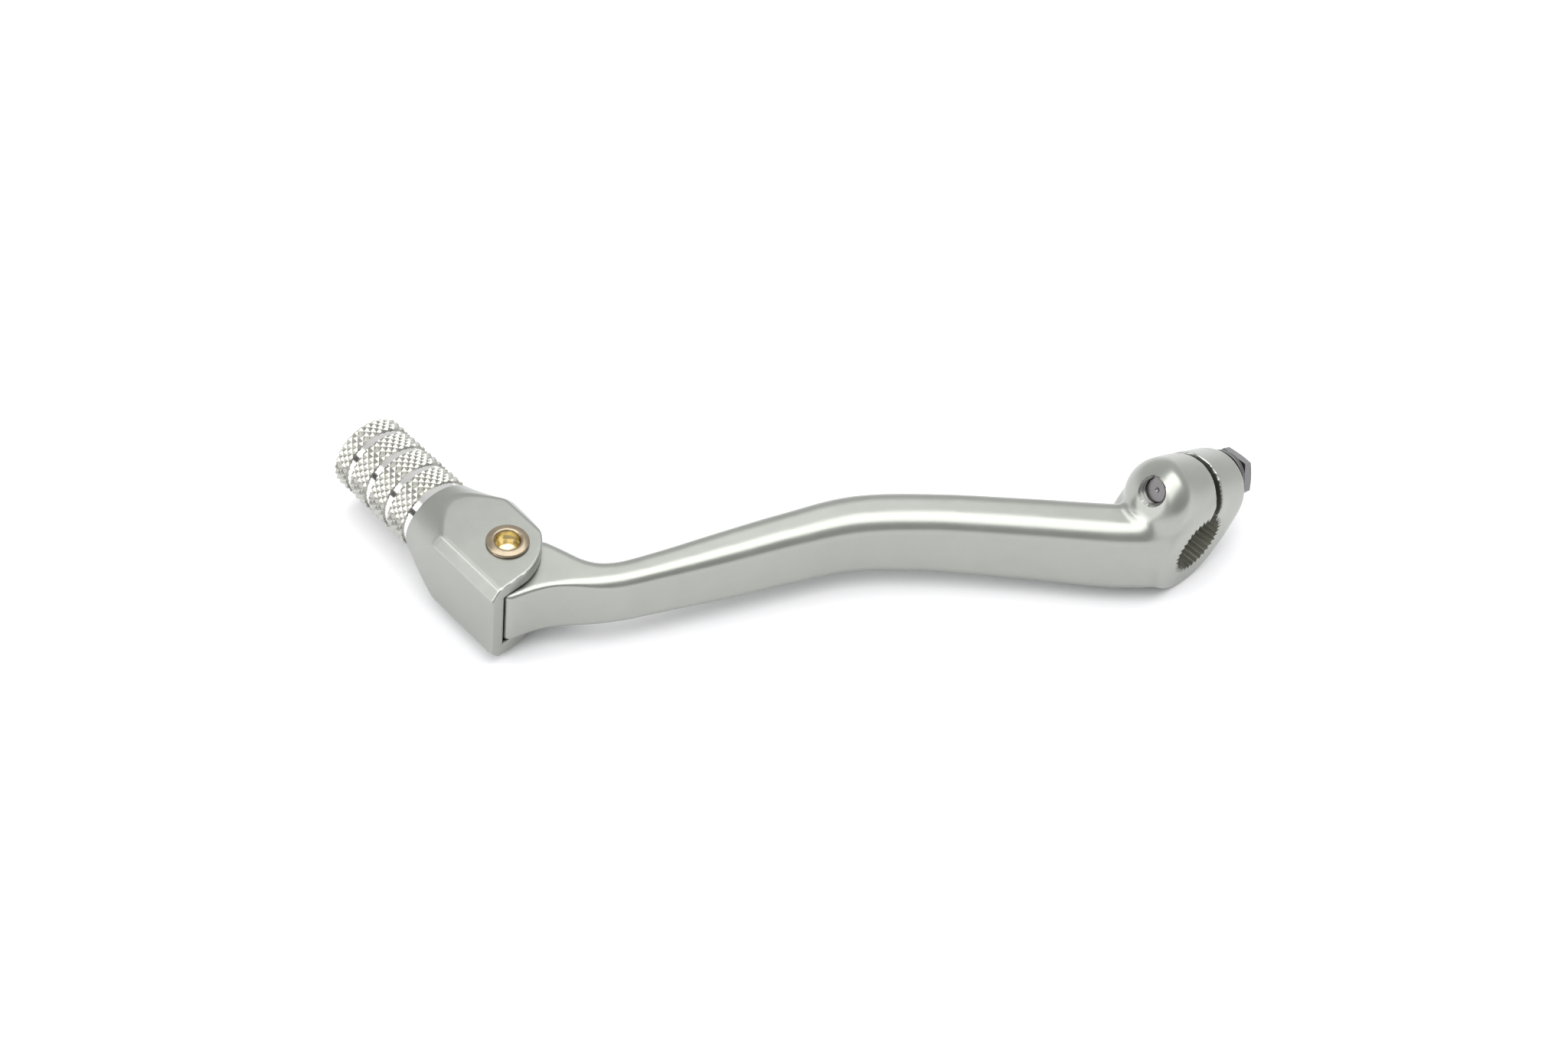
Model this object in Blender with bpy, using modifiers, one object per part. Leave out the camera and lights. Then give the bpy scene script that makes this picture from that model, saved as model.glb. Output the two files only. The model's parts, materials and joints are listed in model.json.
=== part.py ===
"""Folding-tip gear-shift lever: a forged arm that clamps on a splined shaft, and a sprung toe tip.

The lever lies flat on its side, as it would on a bench. Lengths are written in millimetres times MM.
Every piece is modelled about the pivot rivet: the rivet's axis is Z, the toe peg points along +Y and
the clamp is towards +X. One empty then stands the whole lever on the origin.
"""

import math

import bmesh
import bpy
from mathutils import Matrix, Vector

MM = 0.001
GAP = 0.2 * MM
# How far a cutter runs past what it cuts.
CUT_REACH = 20 * MM

# Tip clevis. Its sides are not centred on the rivet.
CLEVIS_BACK_X = -10.5 * MM
CLEVIS_OPEN_X = 8.8 * MM
CLEVIS_MIDDLE_X = (CLEVIS_BACK_X + CLEVIS_OPEN_X) / 2
CLEVIS_HALF_HEIGHT = 9.5 * MM
CLEVIS_FRONT_Y = -8.6 * MM
CLEVIS_NOSE_Y = 19.4 * MM
CLEVIS_CORNER_RADIUS = 8.0 * MM
CLEVIS_CORNER_CENTRE = (-0.6 * MM, 0.2 * MM)
CLEVIS_WIDEST_Y = 6.0 * MM
# The turned nose: radius and distance from the rivet, from the peg back to the cheeks.
CLEVIS_NOSE = (
    (8.2 * MM, CLEVIS_NOSE_Y),
    (9.4 * MM, 15.6 * MM),
    (12.2 * MM, 9.2 * MM),
    (16.0 * MM, 3.0 * MM),
    (20.0 * MM, -20.0 * MM),
)
CLEVIS_CHAMFER_X = 2.0 * MM
CLEVIS_CHAMFER_Z = 2.3 * MM
POCKET_HALF_HEIGHT = 6.6 * MM
POCKET_RADIUS = 7.4 * MM
POCKET_MOUTH_Y = 9.4 * MM

# Toe peg, turned about Y and pressed into the clevis nose.
PEG_RADIUS = 8.15 * MM
PEG_TIP_Y = 43.0 * MM
PEG_TIP_CHAMFER = 0.7 * MM
GROOVE_RADIUS = 7.55 * MM
GROOVE_HALF_WIDTH = 0.65 * MM
GROOVE_PITCH = 5.95 * MM
GROOVE_COUNT = 4
SPIGOT_RADIUS = 5.0 * MM
SPIGOT_LENGTH = 8.6 * MM
SPIGOT_CHAMFER = 0.5 * MM

# Pivot: rivet, bush and return spring, all about Z.
RIVET_RADIUS = 3.0 * MM
RIVET_HEAD_RADIUS = 4.1 * MM
RIVET_HEAD_HEIGHT = 0.9 * MM
RIVET_BORE_RADIUS = 2.35 * MM
RIVET_BORE_DEPTH = 4.2 * MM
RIVET_FLOOR_RADIUS = 1.9 * MM
RIVET_STEP_DEPTH = 1.4 * MM
RIVET_SEAT_GAP = 0.1 * MM
BUSH_RADIUS = 4.2 * MM
EYE_HOLE_RADIUS = BUSH_RADIUS + 0.15 * MM
EYE_HALF_HEIGHT = 6.3 * MM
EYE_RADIUS = 7.0 * MM
EYE_FRONT_Y = -8.9 * MM
EYE_CORNER_ROUND = 1.2 * MM
# Where the eye's front face ends and runs back into the arm.
EYE_FRONT_SLANT = 258
EYE_FRONT_END = (3.6 * MM, -11.1 * MM)
EYE_NECK = ((9.1 * MM, -6.4 * MM), (8.1 * MM, -2.2 * MM))
SPRING_WIRE_RADIUS = 0.55 * MM
SPRING_MEAN_RADIUS = 4.95 * MM
SPRING_TURNS = 3.5
SPRING_PITCH = 1.25 * MM
SPRING_LEG = 2.2 * MM
SPRING_POCKET_RADIUS = 5.75 * MM
SPRING_POCKET_TOP = -0.7 * MM
SPRING_LOW_Z = -5.9 * MM
SPRING_LEG_BEND = 0.4 * MM
SPRING_LEG_HOLE_RADIUS = SPRING_WIRE_RADIUS + 0.3 * MM
UPPER_LEG_HOLE_TOP = 1.8 * MM
LOWER_LEG_HOLE_BOTTOM = -8.6 * MM

# Clamp: the splined bore is along Y, the pinch bolt crosses its slit.
CLAMP_X = 115.0 * MM
CLAMP_INNER_Y = -78.3 * MM
CLAMP_WIDTH = 17.2 * MM
CLAMP_MIDDLE_Y = CLAMP_INNER_Y + CLAMP_WIDTH / 2
CLAMP_RADIUS = 11.3 * MM
CLAMP_EDGE_ROUND = 1.4 * MM
SPLINE_TEETH = 34
SPLINE_ROOT_RADIUS = 6.8 * MM
SPLINE_TIP_RADIUS = 6.2 * MM
# One tooth space: share of the pitch from its middle, and the radius there.
SPLINE_TOOTH = (
    (-0.32, SPLINE_TIP_RADIUS),
    (-0.1, SPLINE_ROOT_RADIUS),
    (0.1, SPLINE_ROOT_RADIUS),
    (0.32, SPLINE_TIP_RADIUS),
)
SLIT_WIDTH = 1.8 * MM
BOLT_SLOPE = math.radians(25)
BOLT_OFFSET = 9.3 * MM
EAR_RADIUS = 8.55 * MM
EAR_OFFSET = 6.5 * MM
EAR_MOUTH = -15.8 * MM
EAR_SEAT = 12.0 * MM
EAR_MOUTH_RADIUS = 4.6 * MM
EAR_MOUTH_TAPER = 5.5 * MM
EAR_SEAT_ROUND = 0.8 * MM
WEB_INSET = 0.2 * MM
WEB_SETBACK = 1.3 * MM
WEB_START_HEIGHT = 1.6 * MM
BOLT_RADIUS = 2.95 * MM
BOLT_HOLE_RADIUS = 3.2 * MM
MOUTH_COUNTERSINK = 0.7 * MM
BOLT_LENGTH = 28.0 * MM
BOLT_END_CHAMFER = 0.8 * MM
BOLT_HEAD_HEIGHT = 4.0 * MM
BOLT_HEAD_CORNER_RADIUS = 5.77 * MM
BOLT_HEAD_TURN = math.radians(30)
WASHER_INNER_RADIUS = 3.3 * MM
WASHER_OUTER_RADIUS = 5.6 * MM
WASHER_THICKNESS = 1.5 * MM
WASHER_RISE = 1.2 * MM
WASHER_FREE_HEIGHT = WASHER_THICKNESS + WASHER_RISE
WASHER_OPENING = math.radians(12)

# Arm stations from the eye to the clamp: centre x, centre y, thickness in plan, height.
ARM_STATIONS = (
    (1.0, -1.0, 12.0, 12.2),
    (5.1, -6.2, 10.2, 12.4),
    (8.5, -11.4, 7.5, 12.4),
    (13.6, -15.6, 6.5, 12.4),
    (22.0, -18.9, 6.9, 12.8),
    (35.0, -23.4, 8.2, 14.0),
    (48.0, -27.8, 9.0, 14.8),
    (61.0, -33.2, 9.9, 15.4),
    (73.5, -42.2, 10.0, 16.0),
    (87.5, -55.0, 10.3, 16.8),
    (99.5, -66.5, 10.6, 17.6),
    (106.5, -72.0, 10.8, 18.2),
)
ARM_STEPS_PER_STATION = 4
ARM_EDGE_ROUND = 0.34
ARC_STEPS = 6
TURN_STEPS = 40
ROUND_STEPS = 48
FINE_STEPS = 32
SMALL_HOLE_STEPS = 12

WHOLE = 2 * math.pi


def collection_named(name):
    made = bpy.data.collections.new(name)
    bpy.context.scene.collection.children.link(made)
    return made


def clear_scene():
    for obj in list(bpy.data.objects):
        bpy.data.objects.remove(obj)


def material(name, colour, metallic, roughness):
    made = bpy.data.materials.new(name)
    made.use_nodes = True
    shader = made.node_tree.nodes["Principled BSDF"]
    shader.inputs["Base Color"].default_value = (*colour, 1.0)
    shader.inputs["Metallic"].default_value = metallic
    shader.inputs["Roughness"].default_value = roughness
    made.diffuse_color = (*colour, 1.0)
    return made


def object_from_bmesh(name, bm, matrix):
    bmesh.ops.recalc_face_normals(bm, faces=bm.faces)
    mesh = bpy.data.meshes.new(name)
    bm.to_mesh(mesh)
    bm.free()
    made = bpy.data.objects.new(name, mesh)
    made.matrix_world = matrix
    return made


def baked(name, source, matrix):
    """A mesh object made from an object as its modifiers or its curve give it, its seams welded."""
    bpy.context.scene.collection.objects.link(source)
    bpy.context.view_layer.update()
    graph = bpy.context.evaluated_depsgraph_get()
    mesh = bpy.data.meshes.new_from_object(source.evaluated_get(graph))
    bpy.data.objects.remove(source)
    bm = bmesh.new()
    bm.from_mesh(mesh)
    bpy.data.meshes.remove(mesh)
    bmesh.ops.remove_doubles(bm, verts=bm.verts, dist=0.001 * MM)
    bmesh.ops.dissolve_limit(bm, angle_limit=math.radians(0.1), verts=bm.verts, edges=bm.edges)
    return object_from_bmesh(name, bm, matrix)


def prism(name, outline, low, high, matrix=None):
    """The flat outline, in the local XY plane, filled and extruded from low to high along local Z."""
    curve = bpy.data.curves.new(name, "CURVE")
    curve.dimensions = "2D"
    curve.fill_mode = "BOTH"
    curve.extrude = (high - low) / 2
    spline = curve.splines.new("POLY")
    spline.points.add(len(outline) - 1)
    for point, (x, y) in zip(spline.points, outline):
        point.co = (x, y, 0.0, 1.0)
    spline.use_cyclic_u = True
    source = bpy.data.objects.new(name, curve)
    lift = Matrix.Translation((0.0, 0.0, (low + high) / 2))
    return baked(name, source, (matrix or Matrix()) @ lift)


def turned(name, profile, matrix=None, steps=TURN_STEPS):
    """The (radius, z) profile, from top to bottom of its outer side, turned about local Z."""
    mesh = bpy.data.meshes.new(name)
    edges = [(i, i + 1) for i in range(len(profile) - 1)]
    if profile[0][0] > 0.0:
        edges.append((len(profile) - 1, 0))
    mesh.from_pydata([(r, 0.0, z) for r, z in profile], edges, [])
    source = bpy.data.objects.new(name, mesh)
    screw = source.modifiers.new("turn", "SCREW")
    screw.steps = steps
    screw.render_steps = steps
    screw.use_merge_vertices = True
    screw.merge_threshold = 0.001 * MM
    return baked(name, source, matrix or Matrix())


def loft(name, rings, matrix=None):
    """A closed solid through rings of points that all have the same count."""
    bm = bmesh.new()
    sections = [[bm.verts.new(point) for point in ring] for ring in rings]
    for near, far in zip(sections, sections[1:]):
        for i in range(len(near)):
            j = (i + 1) % len(near)
            bm.faces.new((near[i], near[j], far[j], far[i]))
    bm.faces.new(sections[0])
    bm.faces.new(reversed(sections[-1]))
    return object_from_bmesh(name, bm, matrix or Matrix())


def arc(centre, radius, start, end, steps=ARC_STEPS):
    """Points on an arc, from the start angle to the end angle in degrees, both included."""
    points = []
    for i in range(steps + 1):
        angle = math.radians(start + (end - start) * i / steps)
        points.append((centre[0] + radius * math.cos(angle), centre[1] + radius * math.sin(angle)))
    return points


def rounded_rectangle(width, height, radius, steps=3):
    points = []
    for corner_x, corner_y, start in ((1, 1, 0), (-1, 1, 90), (-1, -1, 180), (1, -1, 270)):
        centre = (corner_x * (width / 2 - radius), corner_y * (height / 2 - radius))
        points += arc(centre, radius, start, start + 90, steps)
    return points


def boolean(target, other, operation):
    modifier = target.modifiers.new(other.name, "BOOLEAN")
    modifier.operation = operation
    modifier.object = other
    modifier.solver = "EXACT"
    helpers.objects.link(other)
    other.hide_render = True
    other.display_type = "WIRE"


def cut(target, *cutters):
    for cutter in cutters:
        boolean(target, cutter, "DIFFERENCE")


def join(target, *others):
    for other in others:
        boolean(target, other, "UNION")


def place(obj, parent, look):
    """Puts a finished piece in the lever's collection, under the empty that it moves with."""
    parts.objects.link(obj)
    obj.parent = parent
    obj.data.materials.append(look)
    obj.data.shade_smooth()
    obj.data.set_sharp_from_angle(angle=math.radians(35))
    for modifier in obj.modifiers:
        if modifier.type == "BOOLEAN":
            modifier.object.parent = parent


def empty(name, location, parent=None):
    made = bpy.data.objects.new(name, None)
    made.empty_display_size = 20 * MM
    made.location = location
    made.parent = parent
    parts.objects.link(made)
    return made


# Local frames. Each turns local Z onto the axis of what is made in it.
ALONG_Y = Matrix.Rotation(math.radians(-90), 4, "X")
CLAMP_FRAME = Matrix.Translation((CLAMP_X, CLAMP_MIDDLE_Y, 0.0))
BORE_FRAME = CLAMP_FRAME @ ALONG_Y
# In the slit frame X is along the bolt, towards its head, and Z is out of the slit.
SLIT_FRAME = CLAMP_FRAME @ Matrix.Rotation(BOLT_SLOPE, 4, "Y")
ACROSS_SLIT = SLIT_FRAME @ Matrix.Rotation(math.radians(90), 4, "X")
ALONG_BOLT = Matrix.Rotation(math.radians(90), 4, "Y")
BOLT_FRAME = SLIT_FRAME @ Matrix.Translation((0, 0, BOLT_OFFSET)) @ ALONG_BOLT
EAR_FRAME = SLIT_FRAME @ Matrix.Translation((0, 0, EAR_OFFSET)) @ ALONG_BOLT


def between(before, start, end, after, t):
    """A Catmull-Rom value at t of the way from start to end."""
    linear = (end - before) / 2
    square = before - 2.5 * start + 2 * end - after / 2
    cube = 1.5 * (start - end) + (after - before) / 2
    return start + linear * t + square * t**2 + cube * t**3


def curve_through(stations, steps):
    """Rows of numbers along a smooth curve through the stations."""
    rows = []
    last = len(stations) - 1
    for i in range(last):
        around = [stations[min(max(i + k, 0), last)] for k in (-1, 0, 1, 2)]
        for j in range(steps):
            rows.append([between(*values, j / steps) for values in zip(*around)])
    rows.append(list(stations[last]))
    return rows


def arm_blank():
    """The bent arm: rounded rectangles, upright, across the arm's path in plan."""
    rows = curve_through(ARM_STATIONS, ARM_STEPS_PER_STATION)
    rings = []
    for i, (x, y, thickness, height) in enumerate(rows):
        before = rows[max(i - 1, 0)]
        after = rows[min(i + 1, len(rows) - 1)]
        along = Vector((after[0] - before[0], after[1] - before[1])).normalized()
        across = Vector((-along.y, along.x))
        section = rounded_rectangle(thickness, height, ARM_EDGE_ROUND * thickness)
        rings.append([((x + u * across.x) * MM, (y + u * across.y) * MM, v * MM) for u, v in section])
    return loft("lever_arm", rings)


def eye_blank():
    """The flat eye in the clevis: round behind the rivet, straight along the stop wall."""
    outline = arc((0, 0), EYE_RADIUS, 0, 180, 12)
    corner = (-EYE_RADIUS + EYE_CORNER_ROUND, EYE_FRONT_Y + EYE_CORNER_ROUND)
    outline += arc(corner, EYE_CORNER_ROUND, 180, EYE_FRONT_SLANT, 3)
    outline += [EYE_FRONT_END, *EYE_NECK]
    return prism("eye_blank", outline, -EYE_HALF_HEIGHT, EYE_HALF_HEIGHT)


def clamp_boss():
    half = CLAMP_WIDTH / 2
    corner = CLAMP_RADIUS - CLAMP_EDGE_ROUND
    profile = [(0.0, half)]
    profile += arc((corner, half - CLAMP_EDGE_ROUND), CLAMP_EDGE_ROUND, 90, 0, 3)
    profile += arc((corner, CLAMP_EDGE_ROUND - half), CLAMP_EDGE_ROUND, 0, -90, 3)
    profile.append((0.0, -half))
    return turned("clamp_boss", profile, BORE_FRAME)


def ears():
    """Both ears as one drum along the bolt, narrowing to the threaded mouth on an elliptical shoulder."""
    corner = (EAR_RADIUS - EAR_SEAT_ROUND, EAR_SEAT - EAR_SEAT_ROUND)
    profile = [(0.0, EAR_SEAT)]
    profile += arc(corner, EAR_SEAT_ROUND, 90, 0, 3)
    for across, along in arc((0.0, 0.0), 1.0, 0, -90):
        radius = EAR_MOUTH_RADIUS + (EAR_RADIUS - EAR_MOUTH_RADIUS) * across
        profile.append((radius, EAR_MOUTH + EAR_MOUTH_TAPER * (1 + along)))
    profile.append((0.0, EAR_MOUTH))
    return turned("ears", profile, EAR_FRAME)


def clamp_web():
    """The flat cheeks that carry the ears on the boss, in the plane across the bore."""
    side = CLAMP_RADIUS - WEB_INSET
    seat_side = EAR_SEAT - WEB_SETBACK
    outline = arc((0, 0), side, 200, 338, 10)
    outline += [(seat_side, WEB_START_HEIGHT), (seat_side, EAR_OFFSET), (-side, EAR_OFFSET)]
    half = CLAMP_WIDTH / 2 - CLAMP_EDGE_ROUND
    return prism("clamp_web", outline, -half, half, ACROSS_SLIT)


def spline_cutter():
    """The toothed bore: flat-topped teeth that narrow towards the shaft."""
    outline = []
    pitch = WHOLE / SPLINE_TEETH
    for tooth in range(SPLINE_TEETH):
        for share, radius in SPLINE_TOOTH:
            angle = (tooth + share) * pitch
            outline.append((radius * math.cos(angle), radius * math.sin(angle)))
    return prism("spline_cutter", outline, -CLAMP_WIDTH, CLAMP_WIDTH, BORE_FRAME)


def slit_cutter():
    half = SLIT_WIDTH / 2
    outline = [(-half, 0.0), (half, 0.0), (half, CUT_REACH), (-half, CUT_REACH)]
    return prism("slit_cutter", outline, -CLAMP_WIDTH, CLAMP_WIDTH, ACROSS_SLIT)


def bolt_hole_cutter():
    """The hole through both ears, with a countersink at its threaded mouth."""
    outside = EAR_SEAT + CUT_REACH
    mouth = EAR_MOUTH - MOUTH_COUNTERSINK
    profile = [
        (0.0, outside),
        (BOLT_HOLE_RADIUS, outside),
        (BOLT_HOLE_RADIUS, EAR_MOUTH + MOUTH_COUNTERSINK),
        (BOLT_HOLE_RADIUS + 2 * MOUTH_COUNTERSINK, mouth),
        (0.0, mouth),
    ]
    return turned("bolt_hole_cutter", profile, BOLT_FRAME, FINE_STEPS)


def plain_hole(name, radius, low, high, matrix=None, steps=FINE_STEPS):
    return turned(name, [(0.0, high), (radius, high), (radius, low), (0.0, low)], matrix, steps)


def spring_leg_matrix(turns):
    """On the coil's mean circle, after so many turns."""
    angle = turns * WHOLE
    return Matrix.Translation(
        (SPRING_MEAN_RADIUS * math.cos(angle), SPRING_MEAN_RADIUS * math.sin(angle), 0.0)
    )


def make_lever_arm():
    arm = arm_blank()
    join(
        arm,
        eye_blank(),
        clamp_boss(),
        clamp_web(),
        ears(),
    )
    leg_hole = plain_hole(
        "upper_leg_hole",
        SPRING_LEG_HOLE_RADIUS,
        SPRING_POCKET_TOP - GAP,
        UPPER_LEG_HOLE_TOP,
        spring_leg_matrix(SPRING_TURNS),
        SMALL_HOLE_STEPS,
    )
    cut(
        arm,
        spline_cutter(),
        slit_cutter(),
        bolt_hole_cutter(),
        plain_hole("eye_hole", EYE_HOLE_RADIUS, -CUT_REACH, CUT_REACH),
        plain_hole("spring_pocket", SPRING_POCKET_RADIUS, -CUT_REACH, SPRING_POCKET_TOP),
        leg_hole,
    )
    return arm


def make_tip_clevis():
    """Plan outline, side profile and turned nose, each cut from the last; then the pocket and holes."""
    outline = [(CLEVIS_BACK_X, CLEVIS_NOSE_Y), (CLEVIS_BACK_X, CLEVIS_FRONT_Y)]
    outline += arc(CLEVIS_CORNER_CENTRE, CLEVIS_CORNER_RADIUS, -100, 0, 12)
    outline += [(CLEVIS_OPEN_X, CLEVIS_WIDEST_Y), (CLEVIS_OPEN_X, CLEVIS_NOSE_Y)]
    clevis = prism("tip_clevis", outline, -CLEVIS_HALF_HEIGHT, CLEVIS_HALF_HEIGHT)

    half_width = (CLEVIS_OPEN_X - CLEVIS_BACK_X) / 2
    top = CLEVIS_HALF_HEIGHT
    sides = []
    for across, up in ((1, -1), (1, 1), (-1, 1), (-1, -1)):
        low_point = (across * half_width, up * (top - CLEVIS_CHAMFER_Z))
        high_point = (across * (half_width - CLEVIS_CHAMFER_X), up * top)
        sides += [high_point, low_point] if across * up < 0 else [low_point, high_point]
    nose_frame = Matrix.Translation((CLEVIS_MIDDLE_X, 0, 0)) @ ALONG_Y
    side_profile = prism("clevis_sides", sides, -2 * CUT_REACH, 2 * CUT_REACH, nose_frame)
    boolean(clevis, side_profile, "INTERSECT")

    nose = [(0.0, CLEVIS_NOSE_Y), *CLEVIS_NOSE, (0.0, CLEVIS_NOSE[-1][1])]
    boolean(clevis, turned("clevis_nose", nose, nose_frame, ROUND_STEPS), "INTERSECT")

    pocket = [(-POCKET_RADIUS, -CUT_REACH), (CUT_REACH, -CUT_REACH), (CUT_REACH, POCKET_MOUTH_Y)]
    pocket += arc((0, 0), POCKET_RADIUS, 78, 180, 12)
    spigot_end = CLEVIS_NOSE_Y - SPIGOT_LENGTH - GAP
    spigot_hole = plain_hole("spigot_hole", SPIGOT_RADIUS + GAP, spigot_end, CUT_REACH, nose_frame)
    leg_hole = plain_hole(
        "lower_leg_hole",
        SPRING_LEG_HOLE_RADIUS,
        LOWER_LEG_HOLE_BOTTOM,
        GAP - POCKET_HALF_HEIGHT,
        spring_leg_matrix(0.0),
        SMALL_HOLE_STEPS,
    )
    cut(
        clevis,
        prism("pocket", pocket, -POCKET_HALF_HEIGHT, POCKET_HALF_HEIGHT),
        plain_hole("rivet_hole", RIVET_RADIUS + GAP, -CUT_REACH, CUT_REACH),
        spigot_hole,
        leg_hole,
    )
    return clevis


def make_toe_peg():
    """Four plain bands and four grooves on a spigot. The first groove is against the clevis."""
    profile = [
        (0.0, PEG_TIP_Y),
        (PEG_RADIUS - PEG_TIP_CHAMFER, PEG_TIP_Y),
        (PEG_RADIUS, PEG_TIP_Y - PEG_TIP_CHAMFER),
    ]
    base = CLEVIS_NOSE_Y + GAP
    for groove in reversed(range(GROOVE_COUNT)):
        middle = base + GROOVE_HALF_WIDTH + groove * GROOVE_PITCH
        profile += [
            (PEG_RADIUS, middle + GROOVE_HALF_WIDTH),
            (GROOVE_RADIUS, middle + GROOVE_HALF_WIDTH),
            (GROOVE_RADIUS, middle - GROOVE_HALF_WIDTH),
        ]
        if groove > 0:
            profile.append((PEG_RADIUS, middle - GROOVE_HALF_WIDTH))
    end = CLEVIS_NOSE_Y - SPIGOT_LENGTH
    profile += [
        (SPIGOT_RADIUS, base),
        (SPIGOT_RADIUS, end + SPIGOT_CHAMFER),
        (SPIGOT_RADIUS - SPIGOT_CHAMFER, end),
        (0.0, end),
    ]
    return turned("toe_peg", profile, Matrix.Translation((CLEVIS_MIDDLE_X, 0, 0)) @ ALONG_Y, ROUND_STEPS)


def make_pivot_rivet():
    """A semi-tubular rivet: factory head below, hollow end rolled over into a lip above."""
    cheek = CLEVIS_HALF_HEIGHT + RIVET_SEAT_GAP
    lip = RIVET_HEAD_HEIGHT - RIVET_SEAT_GAP
    lip_middle = (RIVET_BORE_RADIUS + RIVET_HEAD_RADIUS) / 2
    lip_half = (RIVET_HEAD_RADIUS - RIVET_BORE_RADIUS) / 2
    floor = cheek + lip - RIVET_BORE_DEPTH
    profile = [
        (0.0, floor),
        (RIVET_FLOOR_RADIUS, floor),
        (RIVET_FLOOR_RADIUS, cheek - RIVET_STEP_DEPTH),
        (RIVET_BORE_RADIUS, cheek - RIVET_STEP_DEPTH / 2),
    ]
    for angle in (180, 150, 120, 90, 60, 30, 0):
        turn = math.radians(angle)
        rise = RIVET_SEAT_GAP + (lip - RIVET_SEAT_GAP) * math.sin(turn)
        profile.append((lip_middle + lip_half * math.cos(turn), cheek + rise))
    profile += [(RIVET_HEAD_RADIUS, cheek), (RIVET_RADIUS, cheek), (RIVET_RADIUS, -cheek)]
    profile += [(RIVET_HEAD_RADIUS, -cheek), (RIVET_HEAD_RADIUS, -cheek - lip / 2)]
    profile += [(RIVET_HEAD_RADIUS - lip / 2, -cheek - lip), (0.0, -cheek - lip)]
    return turned("pivot_rivet", profile, None, FINE_STEPS)


def make_pivot_bush():
    half = POCKET_HALF_HEIGHT - RIVET_SEAT_GAP
    inner = RIVET_RADIUS + GAP
    profile = [(inner, half), (BUSH_RADIUS, half), (BUSH_RADIUS, -half), (inner, -half)]
    return turned("pivot_bush", profile, None, FINE_STEPS)


def make_return_spring():
    """A torsion spring: one leg down into the clevis, the coil round the bush, one leg up into the eye."""
    points = [
        (SPRING_MEAN_RADIUS, 0.0, SPRING_LOW_Z - SPRING_LEG),
        (SPRING_MEAN_RADIUS, 0.0, SPRING_LOW_Z - SPRING_LEG_BEND),
    ]
    steps_per_turn = 16
    for i in range(round(SPRING_TURNS * steps_per_turn) + 1):
        turns = i / steps_per_turn
        x = SPRING_MEAN_RADIUS * math.cos(WHOLE * turns)
        y = SPRING_MEAN_RADIUS * math.sin(WHOLE * turns)
        points.append((x, y, SPRING_LOW_Z + SPRING_PITCH * turns))
    x, y, high = points[-1]
    points += [(x, y, high + SPRING_LEG_BEND), (x, y, high + SPRING_LEG)]
    curve = bpy.data.curves.new("return_spring", "CURVE")
    curve.dimensions = "3D"
    curve.bevel_depth = SPRING_WIRE_RADIUS
    curve.bevel_resolution = 2
    curve.use_fill_caps = True
    spline = curve.splines.new("POLY")
    spline.points.add(len(points) - 1)
    for point, position in zip(spline.points, points):
        point.co = (*position, 1.0)
    return baked("return_spring", bpy.data.objects.new("return_spring", curve), Matrix())


def make_pinch_bolt():
    """An M6 hex bolt. Its shank is plain at the thread's outside diameter."""
    under_head = EAR_SEAT + WASHER_FREE_HEIGHT + 2 * GAP
    end = under_head - BOLT_LENGTH
    inside_head = under_head + BOLT_HEAD_HEIGHT / 4
    profile = [
        (0.0, inside_head),
        (BOLT_RADIUS, inside_head),
        (BOLT_RADIUS, end + BOLT_END_CHAMFER),
        (BOLT_RADIUS - BOLT_END_CHAMFER, end),
        (0.0, end),
    ]
    bolt = turned("pinch_bolt", profile, BOLT_FRAME, FINE_STEPS)
    corners = []
    for k in range(6):
        angle = BOLT_HEAD_TURN + k * WHOLE / 6
        corners.append((BOLT_HEAD_CORNER_RADIUS * math.cos(angle), BOLT_HEAD_CORNER_RADIUS * math.sin(angle)))
    head = prism("hex_head", corners, under_head, under_head + BOLT_HEAD_HEIGHT, BOLT_FRAME)
    join(bolt, head)
    return bolt


def make_spring_washer():
    """A split ring whose ends spring apart, as it is before the bolt is tightened."""
    rings = []
    steps = 36
    opening = WASHER_OPENING
    for i in range(steps + 1):
        share = i / steps
        angle = opening / 2 + (WHOLE - opening) * share
        low = EAR_SEAT + GAP + WASHER_RISE * share
        high = low + WASHER_THICKNESS
        rings.append(
            [
                (radius * math.cos(angle), radius * math.sin(angle), z)
                for radius, z in (
                    (WASHER_INNER_RADIUS, low),
                    (WASHER_OUTER_RADIUS, low),
                    (WASHER_OUTER_RADIUS, high),
                    (WASHER_INNER_RADIUS, high),
                )
            ]
        )
    return loft("spring_washer", rings, BOLT_FRAME)


def standing_offset():
    """Moves the middle of the lever's base from the rivet to the origin."""
    head_face = EAR_SEAT + WASHER_FREE_HEIGHT + 2 * GAP + BOLT_HEAD_HEIGHT
    reach = BOLT_OFFSET + BOLT_HEAD_CORNER_RADIUS * math.cos(BOLT_HEAD_TURN)
    high_x = CLAMP_X + head_face * math.cos(BOLT_SLOPE) + reach * math.sin(BOLT_SLOPE)
    middle_x = (CLEVIS_BACK_X + high_x) / 2
    middle_y = (CLAMP_INNER_Y + PEG_TIP_Y) / 2
    base = max(CLEVIS_HALF_HEIGHT + RIVET_HEAD_HEIGHT, CLAMP_RADIUS)
    return (-middle_x, -middle_y, base)


clear_scene()
parts = collection_named("gear_shift_lever")
helpers = collection_named("cutters")

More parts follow.
